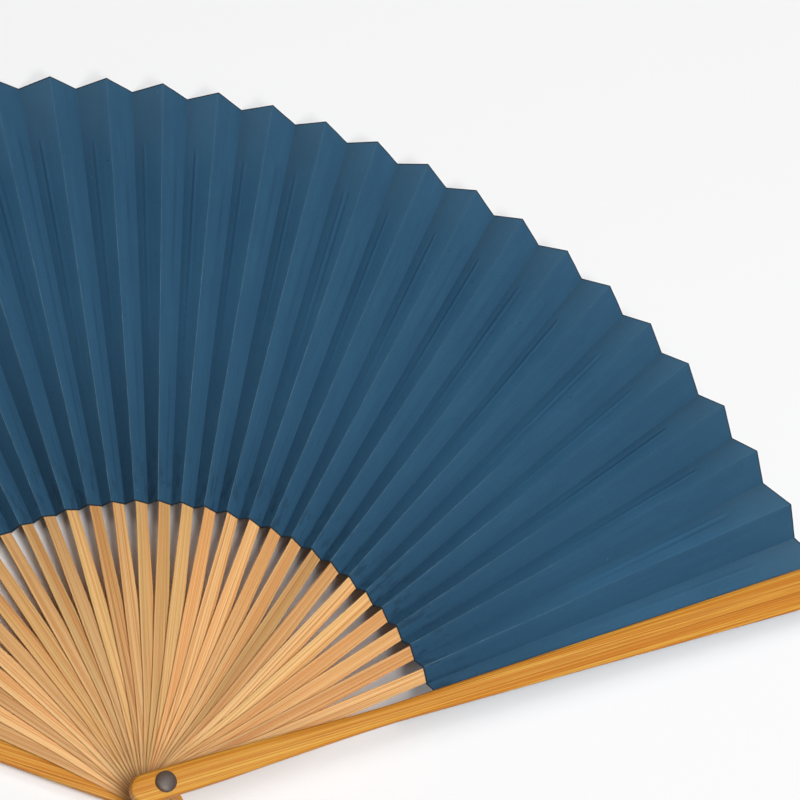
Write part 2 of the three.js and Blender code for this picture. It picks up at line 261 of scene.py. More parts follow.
class Wire:
    """An output of a node tree that adds and multiplies like a number."""

    def __init__(self, tree, socket):
        self.tree = tree
        self.socket = socket

    def math(self, operation, *others, clamp=False):
        """A Math node on this output."""
        inputs = dict(enumerate((self, *others)))
        return put(self.tree, "ShaderNodeMath", inputs, operation=operation, use_clamp=clamp)

    def __add__(self, other):
        return self.math("ADD", other)

    def __sub__(self, other):
        return self.math("SUBTRACT", other)

    def __rsub__(self, other):
        return self.math("MULTIPLY_ADD", -1.0, other)

    def __mul__(self, other):
        return self.math("MULTIPLY", other)

    def __truediv__(self, other):
        return self.math("DIVIDE", other)

    def __abs__(self):
        return self.math("ABSOLUTE")

    __radd__ = __add__
    __rmul__ = __mul__

    def clamp(self):
        """This value between 0 and 1."""
        return self.math("ADD", 0.0, clamp=True)

    def ease(self, start, end, low=0.0, high=1.0):
        """A smooth step from low to high while this value goes from start to end."""
        return put(
            self.tree, "ShaderNodeMapRange",
            {"Value": self, "From Min": start, "From Max": end, "To Min": low, "To Max": high},
            interpolation_type="SMOOTHSTEP",
        )

    def fade(self, start, end):
        """A smooth step from 1 to 0."""
        return self.ease(start, end, 1.0, 0.0)

    def vector(self, operation, other):
        """A Vector Math node on this output."""
        key = "Scale" if operation == "SCALE" else 1
        return put(self.tree, "ShaderNodeVectorMath", {0: self, key: other}, operation=operation)

    def split(self):
        """The three parts of a vector."""
        node = put(self.tree, "ShaderNodeSeparateXYZ", {0: self}).socket.node
        return [Wire(self.tree, socket) for socket in node.outputs]


def feed(tree, socket, value):
    """Links a wire to a socket, or sets the socket's value."""
    if isinstance(value, Wire):
        tree.links.new(value.socket, socket)
    else:
        socket.default_value = value


def put(tree, kind, inputs=(), output=0, **options):
    """Adds a node with its options and inputs, and gives one of its outputs."""
    node = tree.nodes.new(kind)
    for name, value in options.items():
        setattr(node, name, value)
    for key, value in dict(inputs).items():
        feed(tree, node.inputs[key], value)
    return Wire(tree, node.outputs[output])


def join(tree, x, y, z):
    """A vector from its three parts."""
    return put(tree, "ShaderNodeCombineXYZ", {0: x, 1: y, 2: z})


def noise(tree, place, detail=2.0, rough=0.5, output=0):
    """A noise texture at a place that is already scaled."""
    inputs = {"Vector": join(tree, *place), "Scale": 1.0, "Detail": detail, "Roughness": rough}
    return put(tree, "ShaderNodeTexNoise", inputs, output)


def part_way(low, high, share):
    """A number between two others."""
    return low + (high - low) * share


def solid(rgb):
    """A colour with full opacity."""
    return (*rgb, 1.0)


def paint(low, high, share):
    """A colour between two others."""
    low, high = (part if isinstance(part, Wire) else solid(part) for part in (low, high))
    return put(share.tree, "ShaderNodeMix", {0: share, 6: low, 7: high}, 2, data_type="RGBA")


def chance(tone, scale):
    """A number from 0 to 1 that is drawn from the tone of a stick or a pleat."""
    inputs = {"W": tone * scale}
    return put(tone.tree, "ShaderNodeTexWhiteNoise", inputs, "Value", noise_dimensions="1D")


def tidy_nodes(tree):
    """Lays a tree's nodes out in columns, by how far they are from the inputs."""
    depth = dict.fromkeys(tree.nodes, 0)
    for _ in range(len(tree.nodes)):
        for link in tree.links:
            depth[link.to_node] = max(depth[link.to_node], depth[link.from_node] + 1)
    rows = dict.fromkeys(depth.values(), 0)
    for node, column in depth.items():
        node.location = (column * 220, -rows[column] * 190)
        rows[column] += 1


def label(key):
    """The name that a tree's input shows."""
    return key.replace("_", " ").capitalize()


def open_tree(name, numbers, vectors):
    """A new Geometry Nodes tree, with its named inputs as wires."""
    tree = bpy.data.node_groups.new(name, "GeometryNodeTree")
    tree.is_modifier = True
    tree.interface.new_socket("Geometry", in_out="OUTPUT", socket_type="NodeSocketGeometry")
    kinds = {"geometry": "Geometry", **dict.fromkeys(numbers, "Float"), **dict.fromkeys(vectors, "Vector")}
    for key, kind in kinds.items():
        tree.interface.new_socket(label(key), in_out="INPUT", socket_type="NodeSocket" + kind)
    start = tree.nodes.new("NodeGroupInput")
    return tree, SimpleNamespace(**{key: Wire(tree, start.outputs[label(key)]) for key in kinds})


def close_tree(tree, geometry, material):
    """Ends a tree: realized instances with a material."""
    real = put(tree, "GeometryNodeRealizeInstances", {0: geometry})
    dressed = put(tree, "GeometryNodeSetMaterial", {"Geometry": real, "Material": material})
    end = tree.nodes.new("NodeGroupOutput")
    feed(tree, end.inputs[0], dressed)
    tidy_nodes(tree)
    return tree


def keep_value(geometry, name, value, data_type="FLOAT", domain="POINT"):
    """Stores a value on the mesh for the materials."""
    return put(
        geometry.tree, "GeometryNodeStoreNamedAttribute",
        {"Geometry": geometry, "Name": name, "Value": value}, data_type=data_type, domain=domain,
    )


def keep_map(geometry, name, across, along):
    """Stores a UV map on the mesh for the materials."""
    return keep_value(geometry, name, join(geometry.tree, across, along, 0.0), "FLOAT2", "CORNER")


def link_piece(name, data):
    """A new object at the origin with that mesh, light or lens."""
    piece = bpy.data.objects.new(name, data)
    bpy.context.scene.collection.objects.link(piece)
    return piece


def grow(tree, blank, name, values):
    """Runs a tree on a blank and gives a piece with the result as its plain mesh."""
    piece = link_piece(name, blank)
    modifier = piece.modifiers.new(tree.name, "NODES")
    modifier.node_group = tree
    sockets = {
        item.name: item.identifier for item in tree.interface.items_tree
        if item.item_type == "SOCKET" and item.in_out == "INPUT"
    }
    for key, value in values.items():
        modifier[sockets[label(key)]] = value
    graph = bpy.context.evaluated_depsgraph_get()
    mesh = bpy.data.meshes.new_from_object(
        piece.evaluated_get(graph), preserve_all_data_layers=True, depsgraph=graph,
    )
    if not mesh.vertices:
        raise RuntimeError(f"{tree.name} made no mesh for {name}")
    piece.modifiers.remove(modifier)
    piece.data = mesh
    mesh.name = name
    return piece


def set_smooth(mesh, degrees=50):
    """Smooth faces with sharp edges where the mesh turns by more than that angle."""
    mesh.polygons.foreach_set("use_smooth", np.ones(len(mesh.polygons), bool))
    mesh.set_sharp_from_angle(angle=math.radians(degrees))


def stack_height(sticks):
    """Height of the stack along the pin, from one guard's outer face to the other's."""
    ribs = sticks.rib_thickness + (LAST - 2) * sticks.step
    return 2 * sticks.guard_thickness + 2 * sticks.gap + ribs


def rib_lift(sticks, index):
    """Height of a rib's middle along the pin."""
    first = sticks.guard_thickness + sticks.gap + sticks.rib_thickness / 2
    return first + (index - 1) * sticks.step


def pin_foot(sticks):
    """Where the pin's axis leaves the lower guard's outer face."""
    return PIN_MIDDLE - PIN_AXIS * (stack_height(sticks) / 2)


def bearing(leaf, index):
    """Angle of a stick from the fan's middle, clockwise from above."""
    off = index - LAST / 2
    last_rib = LAST / 2 - 1
    pleats = abs(off)
    if abs(off) > last_rib:
        pleats += leaf.guard_pitch - 1
    if abs(off) >= last_rib:
        pleats += leaf.end_pitch - 1
    return math.copysign(pleats, off) * leaf.pitch


def stick_turn(leaf, index):
    """Turns a stick's frame, with y along it and z along the pin, into the fan's."""
    return LEAN @ Matrix.Rotation(-bearing(leaf, index), 3, "Z")


def smooth_share(value, start, end):
    """A smooth step from 0 to 1 for arrays."""
    share = np.clip((value - start) / (end - start), 0, 1)
    return share * share * (3 - 2 * share)


def guard_half_width(sticks, y):
    """Half width of a guard at distances from the pin."""
    eye = sticks.guard_eye / 2
    centre = eye - sticks.guard_tail
    tail = np.sqrt(np.clip(eye**2 - np.clip(centre - y, 0, eye) ** 2, sticks.end_flat**2, None))
    narrowed = smooth_share(y, NECK_START, sticks.guard_waist)
    neck = part_way(eye, sticks.guard_waist_width / 2, narrowed)
    out = np.clip((y - sticks.guard_waist) / (sticks.guard_tip - sticks.guard_waist), 0, 1)
    blade = out * (sticks.guard_tip_width - sticks.guard_waist_width) / 2
    corner = np.clip((y - (sticks.guard_tip - sticks.tip_round)) / sticks.tip_round, 0, CORNER_END)
    cut = sticks.tip_round * (1 - np.sqrt(1 - corner**2))
    return np.where(y < 0, tail, neck + blade - cut)


def guard_inner(sticks, y):
    """Distance of a guard's inner face from the inner face of its boss."""
    step = np.clip((y - sticks.boss_end) / (sticks.recess_start - sticks.boss_end), 0, 1)
    splay = np.clip(y - sticks.recess_start, 0, None) * math.tan(sticks.inner_splay)
    return sticks.recess * step + splay


def guard_outer(sticks, y):
    """Distance of a guard's outer face from the inner face of its boss."""
    return sticks.guard_thickness + np.clip(y - sticks.boss_end, 0, None) * math.tan(sticks.outer_splay)


def boss_height(sticks, index):
    """Height along the pin of the inner face of a guard's boss."""
    if index == 0:
        return sticks.guard_thickness
    return stack_height(sticks) - sticks.guard_thickness


def panel_point(leaf, sticks, index, edge, side):
    """A point of a stick's panel at an edge of the leaf: its middle, or a crease to the left or right."""
    radius, share, height = (getattr(leaf, key + edge) for key in ("", "share_", "height_"))
    if index in (0, LAST):
        way = 1 if index == 0 else -1
        reach = min(radius, sticks.guard_tip - sticks.tip_round)
        half = float(guard_half_width(sticks, np.array(reach))) - leaf.margin
        room = float(guard_inner(sticks, np.array(radius))) - 2 * leaf.paper
        point = (side * half, radius, boss_height(sticks, index) - way * room)
    else:
        half = share / 2 * leaf.pitch
        z = rib_lift(sticks, index) - height / 2 * side
        point = (radius * math.sin(half * side), radius * math.cos(half), z)
    return stick_turn(leaf, index) @ Vector(point) + pin_foot(sticks)


# A pleat's lines: which stick of the two each belongs to, and on which side of that stick's middle it lies
PLEAT_LINES = {"left_middle": (0, 0), "valley": (0, 1), "mountain": (1, -1), "right_middle": (1, 0)}
EDGES = ("inner", "outer")
PLEAT_SIZES = ("paper", "glue", "ramp")
PLEAT_NUMBERS = (
    *PLEAT_SIZES, "blade", "blade_tip", "tip_share", "swell_tip_share", "left_swell", "right_swell",
    "left_wander", "right_wander", "left_sag", "right_sag", "tone", "handled", "faded", "seed",
)


def pleat_tree(material):
    """One pleat between two sticks: half a panel, the valley, the free panel, the mountain, half a panel.

    The blank's x counts columns: 0 to 3 from the left rib's middle over its blade's edge to the
    valley, 3 to 7 over the free panel, 7 to 10 from the mountain to the right rib's middle.
    Its y is the share of the way outward, and its z says which face of which sheet.
    Noise rates are in waves from the leaf's inner edge to its outer edge.
    """
    points = [f"{line}_{edge}" for line in PLEAT_LINES for edge in EDGES]
    tree, given = open_tree("Pleat", PLEAT_NUMBERS, [*points, "up"])
    column, along, level = put(tree, "GeometryNodeInputPosition").split()

    def line(name):
        inner, outer = (getattr(given, f"{name}_{edge}") for edge in EDGES)
        return put(tree, "ShaderNodeMix", {0: along, 4: inner, 5: outer}, 1, data_type="VECTOR")

    def stray(offset, amount):
        shift = noise(tree, (along * 9.0, given.seed, offset), 1.0, output="Color")
        shift = shift.vector("SUBTRACT", (0.5, 0.5, 0.5))
        return shift.vector("SCALE", (along * 0.85 + 0.15) * amount)

    left, right = line("left_middle"), line("right_middle")
    valley = line("valley").vector("ADD", stray(0.0, given.left_wander))
    mountain = line("mountain").vector("ADD", stray(5.0, given.right_wander))
    blade_share = along / given.tip_share
    edge = part_way(given.blade, given.blade_tip, blade_share)

    def half_panel(count, middle, crease):
        ends = {0: middle, 1: crease}
        span = put(tree, "ShaderNodeVectorMath", ends, "Value", operation="DISTANCE")
        blade = edge.math("MINIMUM", span * BLADE_MOST)
        ramp = given.ramp.math("MINIMUM", (span - blade) * RAMP_MOST)
        size = abs(count)
        far = size.math("MINIMUM", 1.0) * blade + (size - 1.0).clamp() * ramp
        far = far + (size - 2.0).clamp() * (span - blade - ramp)
        share = far / span * count.math("SIGN")
        return share, size.fade(1.0, 2.0)

    near_share, near_swell = half_panel(column.math("MINIMUM", VALLEY), left, valley)
    far_share, far_swell = half_panel((RIGHT_END - column).math("MINIMUM", VALLEY), right, mountain)
    free = ((column - VALLEY) / (MOUNTAIN - VALLEY)).clamp()
    place = valley
    for start, end, share in (
        (valley, left, 1.0 - near_share), (valley, mountain, free), (mountain, right, 1.0 - far_share),
    ):
        place = place.vector("ADD", end.vector("SUBTRACT", start).vector("SCALE", share))

    def bow(share, offset, sag):
        wave = noise(tree, (along * 2.5, given.seed, offset), 0.0) - 0.5
        return share * share * (1.0 - share) * wave * along * sag * 12.0

    bend = bow(near_share, 11.0, given.left_sag) + bow(far_share, 17.0, given.right_sag)
    thick = part_way(1.0, given.swell_tip_share, blade_share)
    room = near_swell * given.left_swell + far_swell * given.right_swell
    inside = (along - given.tip_share).fade(0.0, SWELL_END)
    room = room * thick * inside * 0.5 + given.glue
    sheet = room + (abs(level) - 1.0) * given.paper
    lift = level.math("SIGN") * sheet * SLOPE_STRETCH + bend
    place = place.vector("ADD", given.up.vector("SCALE", lift))

    def band(name):
        inputs = {"Name": name}
        return put(tree, "GeometryNodeInputNamedAttribute", inputs, "Attribute", data_type="FLOAT")

    on_rib = part_way(near_share * 0.5 + 0.5, 0.5 - far_share * 0.5, band("far"))
    across = part_way(on_rib, free + 2.0, band("free"))
    # The panel map is stored before the points move, because it is worked out from the blank.
    marked = keep_map(given.geometry, "panel", across, along)
    for name in ("tone", "handled", "faded"):
        marked = keep_value(marked, name, getattr(given, name))
    shaped = put(tree, "GeometryNodeSetPosition", {"Geometry": marked, "Position": place})
    return close_tree(tree, shaped, material)


def pleat_blank(tip_share, first, last):
    """The lattice of two sheets that the pleat's tree shapes."""
    rib_half = [0, 0.5, 1, 1.35, 1.7, 2, 2.5, 2.96]
    start = [-3, -2, -1, *rib_half] if first else rib_half
    end = [RIGHT_END - value for value in reversed(rib_half)]
    if last:
        end += [RIGHT_END + value for value in (1, 2, 3)]
    columns = np.array([*start, VALLEY, 3.04, 6.96, MOUNTAIN, *end])
    swell = [tip_share, tip_share + SWELL_END / 2, tip_share + SWELL_END]
    rows = np.unique(np.round([*np.linspace(0, 1, 27), 0.002, 0.006, *swell, 0.994, 0.998], 5))
    wide, deep = len(columns), len(rows)
    points, faces, free, far = [], [], [], []

    def add_face(corners, column):
        middle = (columns[column] + columns[min(column + 1, wide - 1)]) / 2
        faces.append([int(corner) for corner in corners])
        free.append(float(VALLEY < middle < MOUNTAIN))
        far.append(float(middle > MOUNTAIN))

    for low_level, high_level in ((1, 2), (-2, -1)):
        low = len(points) + np.arange(wide * deep).reshape(deep, wide)
        high = low + wide * deep
        for level in (low_level, high_level):
            points += [(column, row, level) for row in rows for column in columns]
        for r in range(deep - 1):
            for c in range(wide - 1):
                add_face((high[r, c], high[r, c + 1], high[r + 1, c + 1], high[r + 1, c]), c)
                add_face((low[r, c], low[r + 1, c], low[r + 1, c + 1], low[r, c + 1]), c)
            add_face((low[r + 1, 0], low[r, 0], high[r, 0], high[r + 1, 0]), 0)
            add_face((low[r, -1], low[r + 1, -1], high[r + 1, -1], high[r, -1]), wide - 1)
        for c in range(wide - 1):
            add_face((low[0, c], low[0, c + 1], high[0, c + 1], high[0, c]), c)
            add_face((low[-1, c + 1], low[-1, c], high[-1, c], high[-1, c + 1]), c)
    blank = bpy.data.meshes.new("pleat_blank")
    blank.from_pydata(points, [], faces)
    for key, values in (("free", free), ("far", far)):
        blank.attributes.new(key, "FLOAT", "FACE").data.foreach_set("value", values)
    set_smooth(blank, 60)
    return blank


def eye_rows(tail, eye, hole, shares):
    """Rows of a stick's lattice over its round end and its hole, in metres from the pin."""
    end = [eye / 2 * share - tail for share in shares]
    return [*end, -0.003, -0.002, -hole, -hole / 2, 0, hole / 2, hole, 0.002]


def bar_blank(name, flank, rows, hole_share, hole_radius):
    """A bar's lattice with a round hole at y = 0: x and z run from -1 to 1 over its section.

    The flank is the half section beside the hole.
    """
    near = 1e-6
    half = [(0, 1), (hole_share / 2, 1), (hole_share, 1), *flank]
    section = [(-x, z) for x, z in reversed(half[1:])] + half
    rows = [float(y) for y in rows]
    shell = bmesh.new()
    grid = {}
    for side in (1, -1):
        for r, y in enumerate(rows):
            for c, (x, z) in enumerate(section):
                inside = max(abs(x) / hole_share, abs(y) / hole_radius)
                if inside < 1 - near:
                    continue
                spot = Vector((x, y, side * z))
                if inside < 1 + near:
                    round_out = Vector((x / hole_share, y / hole_radius)).normalized()
                    spot.x, spot.y = round_out.x * hole_share, round_out.y * hole_radius
                grid[side, r, c] = shell.verts.new(spot)

    def in_hole(r, c):
        x = (section[c][0] + section[c + 1][0]) / 2
        y = (rows[r] + rows[r + 1]) / 2
        return abs(x) < hole_share and abs(y) < hole_radius

    for r in range(len(rows) - 1):
        for c in range(len(section) - 1):
            if not in_hole(r, c):
                for side in (1, -1):
                    corners = [(r, c), (r, c + 1), (r + 1, c + 1), (r + 1, c)]
                    shell.faces.new([grid[side, *corner] for corner in corners])
    for edge in [edge for edge in shell.edges if edge.is_boundary]:
        top = [key for key in grid if grid[key] in edge.verts and key[0] == 1]
        if len(top) == 2:
            (_, r0, c0), (_, r1, c1) = top
            shell.faces.new([grid[1, r0, c0], grid[1, r1, c1], grid[-1, r1, c1], grid[-1, r0, c0]])
    bmesh.ops.recalc_face_normals(shell, faces=shell.faces[:])
    blank = bpy.data.meshes.new(name)
    shell.to_mesh(blank)
    shell.free()
    return blank


RIB_SIZES = (
    "rib_eye", "rib_width", "rib_tip_width", "rib_thickness", "rib_neck", "rib_blade",
    "rib_tip_thickness", "rib_tail", "rib_tip", "neck_end", "twist_start", "end_flat",
)
RIB_LEAF_SIZES = ("inner", "outer", "height_inner", "height_outer")
RIB_NUMBERS = (
    *RIB_SIZES, *RIB_LEAF_SIZES, "run_inner", "run_outer", "unevenness", "bearing", "lift", "tone", "seed",
)


def rib_tree(material):
    """A rib: a flat round eye at the pin, a shank that rolls into its pleat, a thin blade in the leaf."""
    tree, given = open_tree("Rib slat", RIB_NUMBERS, ["lean", "foot"])
    x, y, z = put(tree, "GeometryNodeInputPosition").split()
    into_leaf = y - given.inner
    eye = given.rib_eye * 0.5
    before = ((eye - given.rib_tail - y) / eye).clamp()
    end = (1.0 - before * before).math("SQRT").math("MAXIMUM", given.end_flat / eye)
    neck = y.ease(0.0, given.neck_end)
    blade = (into_leaf / (given.rib_tip - given.inner)).clamp()
    half = eye * end + (given.rib_width * 0.5 - eye) * neck
    half = half + (given.rib_tip_width - given.rib_width) * 0.5 * blade
    shave = noise(tree, (y * 70.0, given.seed, x * 3.0)) - 0.5
    half = half + shave * neck * given.unevenness
    thick = part_way(given.rib_thickness, given.rib_neck, (y / given.inner).clamp())
    thin = into_leaf.ease(SHOULDER_ROWS[0], SHOULDER_ROWS[4])
    thick = thick + (given.rib_blade - given.rib_neck) * thin
    thick = thick + (given.rib_tip_thickness - given.rib_blade) * blade
    leaf_share = (into_leaf / (given.outer - given.inner)).clamp()
    rise = part_way(given.height_inner, given.height_outer, leaf_share)
    run = part_way(given.run_inner, given.run_outer, leaf_share)
    roll = rise.math("ARCTAN2", run) * y.ease(given.twist_start, given.inner)
    cosine, sine = roll.math("COSINE"), roll.math("SINE")
    out, up = x * half, z * thick * 0.5
    place = join(tree, out * cosine + up * sine, y, up * cosine - out * sine)
    marked = keep_map(given.geometry, "grain", out, y)
    marked = keep_value(marked, "tone", given.tone)
    marked = keep_value(marked, "rim", abs(x))
    shaped = put(tree, "GeometryNodeSetPosition", {"Geometry": marked, "Position": place})
    turned = put(tree, "GeometryNodeTransform", {
        "Geometry": shaped,
        "Translation": join(tree, 0.0, 0.0, given.lift),
        "Rotation": join(tree, 0.0, 0.0, given.bearing * -1.0),
    })
    placed = put(tree, "GeometryNodeTransform", {
        "Geometry": turned, "Translation": given.foot, "Rotation": given.lean,
    })
    return close_tree(tree, placed, material)


def new_material(name):
    """A new material with its tree and its shader."""
    material = bpy.data.materials.new(name)
    material.use_nodes = True
    tree = material.node_tree
    return material, tree, tree.nodes["Principled BSDF"]


def finish_shader(tree, shader, base, rough, height, distance, strength):
    """Gives a shader its colour, its roughness and a bump from a height."""
    feed(tree, shader.inputs["Base Color"], base)
    feed(tree, shader.inputs["Roughness"], rough)
    inputs = {"Height": height, "Distance": distance, "Strength": strength}
    feed(tree, shader.inputs["Normal"], put(tree, "ShaderNodeBump", inputs, "Normal"))


def read(tree, name):
    """Reads a value that the mesh carries."""
    return put(tree, "ShaderNodeAttribute", (), "Fac", attribute_name=name)


def paper_material(leaf, finish):
    """Dyed fibrous paper with mountain folds that are rubbed and the prints of the rib blades, with painted
    shade in the valleys, at the inner ends, along the blades' edges and along the mountains on the right,
    painted light and shade on the free panels that grows towards the right, and painted sheen at their outer
    ends.

    Places and widths across a panel are in millimetres, noise rates in waves per millimetre.
    """
    material, tree, shader = new_material("Dyed paper")
    across, along, _ = put(tree, "ShaderNodeUVMap", (), uv_map="panel").split()
    tone = read(tree, "tone")
    depth = (leaf.outer - leaf.inner) * 1000

    def span(share_inner, share_outer):
        inner = 1000 * math.hypot(leaf.inner * share_inner * leaf.pitch, leaf.height_inner)
        outer = 1000 * math.hypot(leaf.outer * share_outer * leaf.pitch, leaf.height_outer)
        return part_way(inner, outer, along)

    rib_span = span(leaf.share_inner, leaf.share_outer)
    free_span = span(1 - leaf.share_inner, 1 - leaf.share_outer)
    free = across.math("GREATER_THAN", 1.5)
    on_rib = 1.0 - free
    on_free = across - 2.0
    from_mountain = on_rib * across * rib_span + free * (1.0 - on_free) * free_span
    from_valley = on_rib * (1.0 - across) * rib_span + free * on_free * free_span
    out = along * depth
    side = on_rib * across * rib_span + free * (on_free * free_span + 20.0)
    # Each pleat has its own place in the noise.
    seat = tone * 300.0

    # The dye: clouds, brush marks, mottling and fibres
    clouds = noise(tree, (side * 0.12, out * 0.05, seat), 3.0, 0.6)
    brushed = noise(tree, (side * 2.6, out * 0.05, seat), 3.0, 0.65)
    mottle = noise(tree, (side * 1.5, out * 1.5, seat + 20.0), 2.0, 0.6)
    fibres = noise(tree, (side * 5.0, out * 3.2, seat + 40.0), 4.0, 0.7)
    shade = clouds.ease(0.3, 0.72) * 0.35 + brushed.ease(0.28, 0.75) * 0.25
    shade = shade + mottle.ease(0.3, 0.7) * 0.2 + fibres.ease(0.35, 0.65) * 0.3
    base = paint(finish.leaf_deep, finish.leaf, shade.clamp())

    # Painted shade at the inner ends and near the valleys, and glue stains; painted light and shade on the
    # free panels, growing towards the right, with a random tone from pleat to pleat
    right_share = read(tree, "faded")
    right_side = right_share.ease(0.6, 0.85)
    # Strength of the painted shade at the inner ends: most on the free panels, less towards the right
    inner_shade_strength = free * (1.0 - right_share) * (chance(tone, 13.0) * 0.5 + 0.4) + on_rib * 0.15
    inner_painted_shade = along.fade(0.0, 0.5) * inner_shade_strength
    glued = noise(tree, (side * 0.45, out * 0.14, seat + 60.0), 3.0, 0.6)
    glued = glued.ease(0.5, 0.64) * along.ease(0.02, 0.17, 0.3, 0.0)
    # Painted shade near the valleys
    valley_painted_shade = from_valley.fade(0.0, 3.2) * 0.08
    # Painted light across a free panel: darker at the valley and lighter at the mountain, more so outwards
    # and towards the right
    across_painted_light = (on_free - 0.5) * along * (right_share * 0.8 - 0.16)
    # Painted light in the middle of the free panels' length, on the right
    waist = along.ease(0.1, 0.5) * along.fade(0.6, 0.95) * right_side * 0.16
    # Painted light and shade on the free panels: darker on the left, lighter towards the right, with a
    # random tone from pleat to pleat
    faded = free * (across_painted_light + waist + chance(tone, 31.0) * 0.14 + right_share * 0.6 - 0.27)
    # Painted shade on the rib panels far to the right
    faded = faded - on_rib * right_share.ease(0.7, 0.95) * 0.1
    base = base.vector("SCALE", (faded + 1.0) * (1.0 - inner_painted_shade) * (1.0 - glued) * (1.0 - valley_painted_shade))

    # Painted shade along the edge of a rib's own blade, less towards the right; prints where the next blade
    # has pressed the free panel
    shadow = finish.leaf_shadow
    blade_edge_shade_strength = noise(tree, (tone * 50.0, out * 0.03, 4.0), 1.0).ease(0.35, 0.65)
    # Painted shade along the edge of the rib's blade, patchy along its length
    beside = abs(across - 0.6).fade(0.02, 0.12) * along.fade(0.85, 0.875)
    base = paint(base, shadow, beside * blade_edge_shade_strength * on_rib * (0.65 - right_share * 0.65))
    ends = along.fade(0.845, 0.865) * along.ease(0.25, 0.8)
    stray = (on_free - 0.3 - (tone - 0.5) * 0.1) * free_span
    groove = abs(stray).fade(0.05, 0.5) * (chance(tone, 73.0) * 0.75 + 0.25)
    second = abs(stray - 1.9).fade(0.05, 0.5) * chance(tone, 19.0).ease(0.4, 0.9)
    groove = (groove + second * 0.7) * free * ends
    ridge = abs(stray - 0.8).fade(0.0, 0.5) * free * ends
    base = paint(base, shadow, (groove * 0.55).clamp())
    base = base.vector("SCALE", ridge * chance(tone, 47.0) * 0.22 + 1.0)
    # Painted shade in a narrow band along the valley crease
    base = paint(base, shadow, from_valley.fade(0.0, 0.35) * 0.18)

    # Folds and wear: painted shade along the mountains on the right, rubbed mountains, paler outer ends of
    # the free panels that are partly dust and partly painted sheen, paler free panels next to the guards,
    # cut edges
    patchy = noise(tree, (side * 0.3, out * 0.16, seat + 80.0), 4.0, 0.65)
    # Painted shade along the mountain folds on the right, where they are not rubbed
    mountain_painted_shade = from_mountain.fade(0.0, 0.5) * on_rib * right_side
    base = paint(base, shadow, mountain_painted_shade * along.ease(0.3, 0.55) * 0.3)
    kept = along.ease(0.45, 0.9, 1.0, 0.25) * (1.0 - along.ease(0.28, 0.5) * right_side)
    rubbed = from_mountain.fade(0.02, 0.2) * (patchy.ease(0.36, 0.68) * 0.85 + 0.1) * kept
    # Paler outer ends of the free panels and paler paper near the mountains: partly dust, partly painted
    # sheen
    dust_and_sheen = along.ease(0.72, 1.0) * (free * 0.17 + 0.03) + from_mountain.fade(0.1, 1.4) * 0.04
    # Paler free panels next to the guards
    dust_and_sheen = dust_and_sheen + read(tree, "handled") * free * 0.12
    base = paint(base, finish.leaf_worn_and_sheen, (rubbed * 0.85 + dust_and_sheen).clamp())
    cut = (along.math("MINIMUM", 1.0 - along) * depth).fade(0.2, 0.55)
    base = paint(base, finish.leaf_cut, cut * 0.9)

    def specks(spread, offset, size):
        place = join(tree, side * spread, out * spread, seat + offset)
        far = put(tree, "ShaderNodeTexVoronoi", {"Vector": place, "Scale": 1.0}, "Distance")
        return far.fade(size * 0.4, size)

    base = paint(base, finish.leaf_worn_and_sheen, specks(0.13, 0.0, 0.028) * 0.8)
    base = paint(base, shadow, specks(0.09, 11.0, 0.04) * 0.6)
    shader.inputs["Specular IOR Level"].default_value = 0.18
    rough = fibres * 0.16 + 0.76 - rubbed * 0.1
    height = fibres * 0.5 + mottle * 0.4 + brushed * 0.5 + ridge * 1.2 - groove * 2.0
    finish_shader(tree, shader, base, rough, height, distance=0.00006, strength=0.6)
    return material


def bamboo_material(name, tones, gloss, contrast, fine, spread, edge):
    """Split bamboo: long fibres in tones that differ from stick to stick, a pale line near each edge that is
    partly paler fibres and partly a painted highlight, and darker edges that are partly dark fibres and
    partly painted shade.

    The tones are pale, deep, greenish and that of the dark lines. Noise rates are in waves per
    millimetre across and along the stick.
    """
    material, tree, shader = new_material(name)
    pale, deep, green, line = tones
    side, out, _ = put(tree, "ShaderNodeUVMap", (), uv_map="grain").split()
    side, out = side * 1000.0, out * 1000.0
    tone = read(tree, "tone")
    rim = read(tree, "rim")
    seat = tone * 170.0
    bands = noise(tree, (side * 0.9 * fine, out * 0.004, seat), 1.0)
    streaks = noise(tree, (side * 2.2 * fine, out * 0.006, seat + 30.0), 2.0, 0.6)
    hairs = noise(tree, (side * 5.5 * fine, out * 0.012, seat + 60.0), 2.0, 0.6)
    dashes = noise(tree, (side * 12.0 * fine, out * 0.3, seat + 90.0))
    clouds = noise(tree, (side * 0.3, out * 0.05, seat + 120.0))
    warm = chance(tone, 91.0) * 0.75 + bands.ease(0.4, 0.6) * 0.5 - 0.1
    base = paint(pale, deep, warm.clamp())
    base = paint(base, green, chance(tone, 57.0).ease(0.5, 1.0) * clouds.ease(0.2, 0.6) * 0.75)
    base = paint(base, deep, streaks.ease(0.5, 0.58) * 0.8 * contrast)
    base = paint(base, pale, streaks.ease(0.46, 0.38) * 0.9 * contrast)
    lines = hairs.ease(0.54, 0.62) * 0.5 + dashes.ease(0.6, 0.72) * 0.25
    lines = lines + streaks.ease(0.6, 0.66) * 0.5
    base = paint(base, line, (lines * contrast).clamp())
    base = paint(base, pale, hairs.ease(0.42, 0.34) * 0.7 * contrast)
    base = base.vector("SCALE", (chance(tone, 23.0) - 0.5) * spread + 0.98)
    # A pale line near each edge: partly paler fibres, partly a painted highlight on the edge's rounding
    base = paint(base, pale, abs(rim - edge).ease(0.0, 0.06, 0.6, 0.0))
    # Darker edges: partly dark fibres, partly painted shade on the edge's rounding
    base = paint(base, line, rim.ease(0.92, 1.0) * 0.5)
    shader.inputs["Specular IOR Level"].default_value = 0.18
    rough = streaks * 0.22 + gloss - 0.08
    height = streaks * 0.7 + hairs * 0.5
    finish_shader(tree, shader, base, rough, height, distance=0.00006, strength=0.5)
    return material


